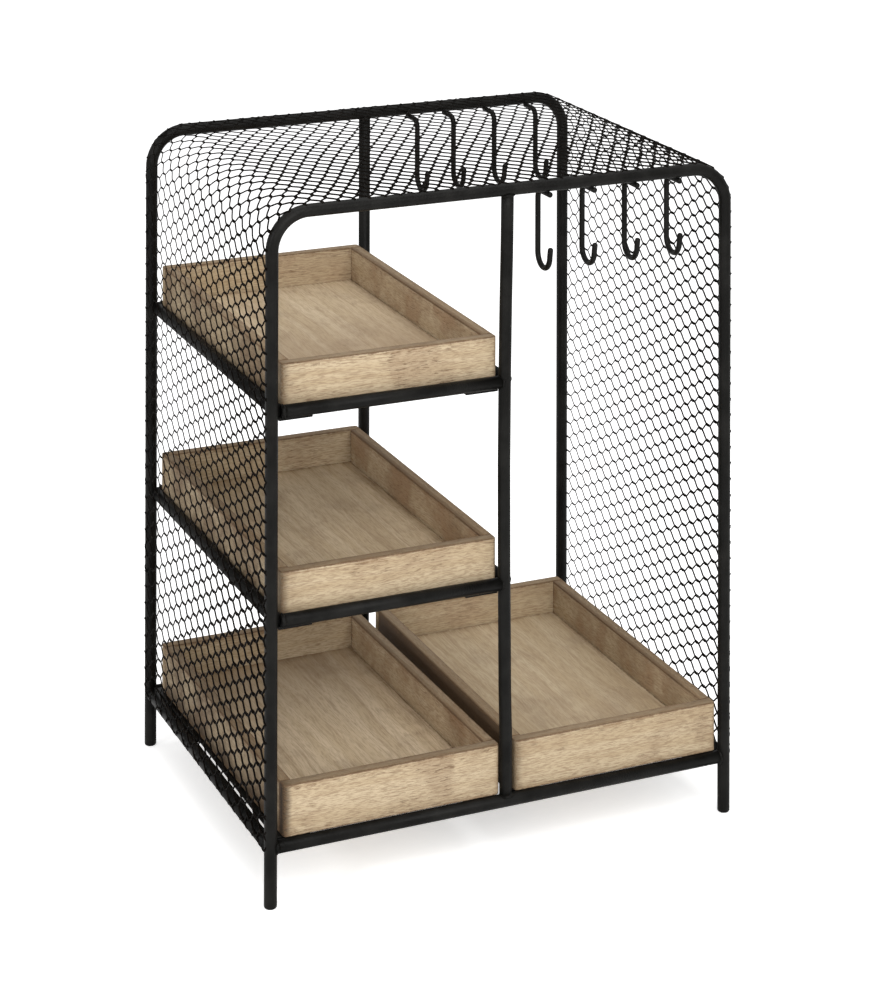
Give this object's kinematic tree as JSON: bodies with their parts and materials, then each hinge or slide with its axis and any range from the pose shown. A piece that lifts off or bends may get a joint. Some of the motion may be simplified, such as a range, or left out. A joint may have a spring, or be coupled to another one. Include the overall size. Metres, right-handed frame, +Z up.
{
  "type": "tabletop organiser",
  "caption": "Free-standing black metal frame with wire netting over its sides and top, lift-out and slide-out wooden trays on shelves at one side, and small hanging hooks over a tall open bay",
  "frame": {"origin": "on the ground, under the middle of the frame", "axes": "+Z up, -Y to the open front with the tray faces, +X to the tall bay"},
  "size_m": [0.2696, 0.2065, 0.3541],
  "materials": {
    "front_hoop": "satin black powder coat",
    "front_centre_post": "satin black powder coat",
    "base_front_rail": "satin black powder coat",
    "rear_hoop": "satin black powder coat",
    "rear_centre_post": "satin black powder coat",
    "base_rear_rail": "satin black powder coat",
    "base_left_rail": "satin black powder coat",
    "base_right_rail": "satin black powder coat",
    "mid_shelf_left_rail": "satin black powder coat",
    "mid_shelf_right_rail": "satin black powder coat",
    "mid_shelf_front_bar": "satin black powder coat",
    "mid_shelf_rear_bar": "satin black powder coat",
    "mid_shelf_left_strip": "satin black powder coat",
    "mid_shelf_right_strip": "satin black powder coat",
    "top_shelf_left_rail": "satin black powder coat",
    "top_shelf_right_rail": "satin black powder coat",
    "top_shelf_front_bar": "satin black powder coat",
    "top_shelf_rear_bar": "satin black powder coat",
    "top_shelf_left_strip": "satin black powder coat",
    "top_shelf_right_strip": "satin black powder coat",
    "base_left_outer_strip": "satin black powder coat",
    "base_left_inner_strip": "satin black powder coat",
    "base_right_outer_strip": "satin black powder coat",
    "base_right_inner_strip": "satin black powder coat",
    "wire_netting": "satin black powder coat",
    "front_hook_1": "satin black powder coat",
    "front_hook_2": "satin black powder coat",
    "front_hook_3": "satin black powder coat",
    "front_hook_4": "satin black powder coat",
    "rear_hook_1": "satin black powder coat",
    "rear_hook_2": "satin black powder coat",
    "rear_hook_3": "satin black powder coat",
    "rear_hook_4": "satin black powder coat",
    "base_left_tray_front_wall": "washed, open grain",
    "base_left_tray_rear_wall": "washed, open grain",
    "base_left_tray_left_wall": "washed, open grain",
    "base_left_tray_right_wall": "washed, open grain",
    "base_left_tray_floor": "washed, open grain",
    "base_right_tray_front_wall": "washed, open grain",
    "base_right_tray_rear_wall": "washed, open grain",
    "base_right_tray_left_wall": "washed, open grain",
    "base_right_tray_right_wall": "washed, open grain",
    "base_right_tray_floor": "washed, open grain",
    "mid_tray_front_wall": "washed, open grain",
    "mid_tray_rear_wall": "washed, open grain",
    "mid_tray_left_wall": "washed, open grain",
    "mid_tray_right_wall": "washed, open grain",
    "mid_tray_floor": "washed, open grain",
    "top_tray_front_wall": "washed, open grain",
    "top_tray_rear_wall": "washed, open grain",
    "top_tray_left_wall": "washed, open grain",
    "top_tray_right_wall": "washed, open grain",
    "top_tray_floor": "washed, open grain"
  },
  "bodies": {
    "frame": {"front_hoop": "front_hoop", "front_centre_post": "front_centre_post", "base_front_rail": "base_front_rail", "rear_hoop": "rear_hoop", "rear_centre_post": "rear_centre_post", "base_rear_rail": "base_rear_rail", "base_left_rail": "base_left_rail", "base_right_rail": "base_right_rail", "mid_shelf_left_rail": "mid_shelf_left_rail", "mid_shelf_right_rail": "mid_shelf_right_rail", "mid_shelf_front_bar": "mid_shelf_front_bar", "mid_shelf_rear_bar": "mid_shelf_rear_bar", "mid_shelf_left_strip": "mid_shelf_left_strip", "mid_shelf_right_strip": "mid_shelf_right_strip", "top_shelf_left_rail": "top_shelf_left_rail", "top_shelf_right_rail": "top_shelf_right_rail", "top_shelf_front_bar": "top_shelf_front_bar", "top_shelf_rear_bar": "top_shelf_rear_bar", "top_shelf_left_strip": "top_shelf_left_strip", "top_shelf_right_strip": "top_shelf_right_strip", "base_left_outer_strip": "base_left_outer_strip", "base_left_inner_strip": "base_left_inner_strip", "base_right_outer_strip": "base_right_outer_strip", "base_right_inner_strip": "base_right_inner_strip", "wire_netting": "wire_netting", "front_hook_1": "front_hook_1", "front_hook_2": "front_hook_2", "front_hook_3": "front_hook_3", "front_hook_4": "front_hook_4", "rear_hook_1": "rear_hook_1", "rear_hook_2": "rear_hook_2", "rear_hook_3": "rear_hook_3", "rear_hook_4": "rear_hook_4"},
    "base_left_tray": {"base_left_tray_front_wall": "base_left_tray_front_wall", "base_left_tray_rear_wall": "base_left_tray_rear_wall", "base_left_tray_left_wall": "base_left_tray_left_wall", "base_left_tray_right_wall": "base_left_tray_right_wall", "base_left_tray_floor": "base_left_tray_floor"},
    "base_right_tray": {"base_right_tray_front_wall": "base_right_tray_front_wall", "base_right_tray_rear_wall": "base_right_tray_rear_wall", "base_right_tray_left_wall": "base_right_tray_left_wall", "base_right_tray_right_wall": "base_right_tray_right_wall", "base_right_tray_floor": "base_right_tray_floor"},
    "mid_tray": {"mid_tray_front_wall": "mid_tray_front_wall", "mid_tray_rear_wall": "mid_tray_rear_wall", "mid_tray_left_wall": "mid_tray_left_wall", "mid_tray_right_wall": "mid_tray_right_wall", "mid_tray_floor": "mid_tray_floor"},
    "top_tray": {"top_tray_front_wall": "top_tray_front_wall", "top_tray_rear_wall": "top_tray_rear_wall", "top_tray_left_wall": "top_tray_left_wall", "top_tray_right_wall": "top_tray_right_wall", "top_tray_floor": "top_tray_floor"}
  },
  "joints": [
    {"name": "base_left_tray_slide", "type": "slide", "parent": "frame", "child": "base_left_tray", "axis": [0, -1, 0], "range_m": [0, 0.2]},
    {"name": "base_right_tray_slide", "type": "slide", "parent": "frame", "child": "base_right_tray", "axis": [0, -1, 0], "range_m": [0, 0.2]},
    {"name": "mid_tray_lift", "type": "slide", "parent": "frame", "child": "mid_tray", "axis": [0, 0, 1], "range_m": [0, 0.05]},
    {"name": "top_tray_lift", "type": "slide", "parent": "frame", "child": "top_tray", "axis": [0, 0, 1], "range_m": [0, 0.05]}
  ]
}
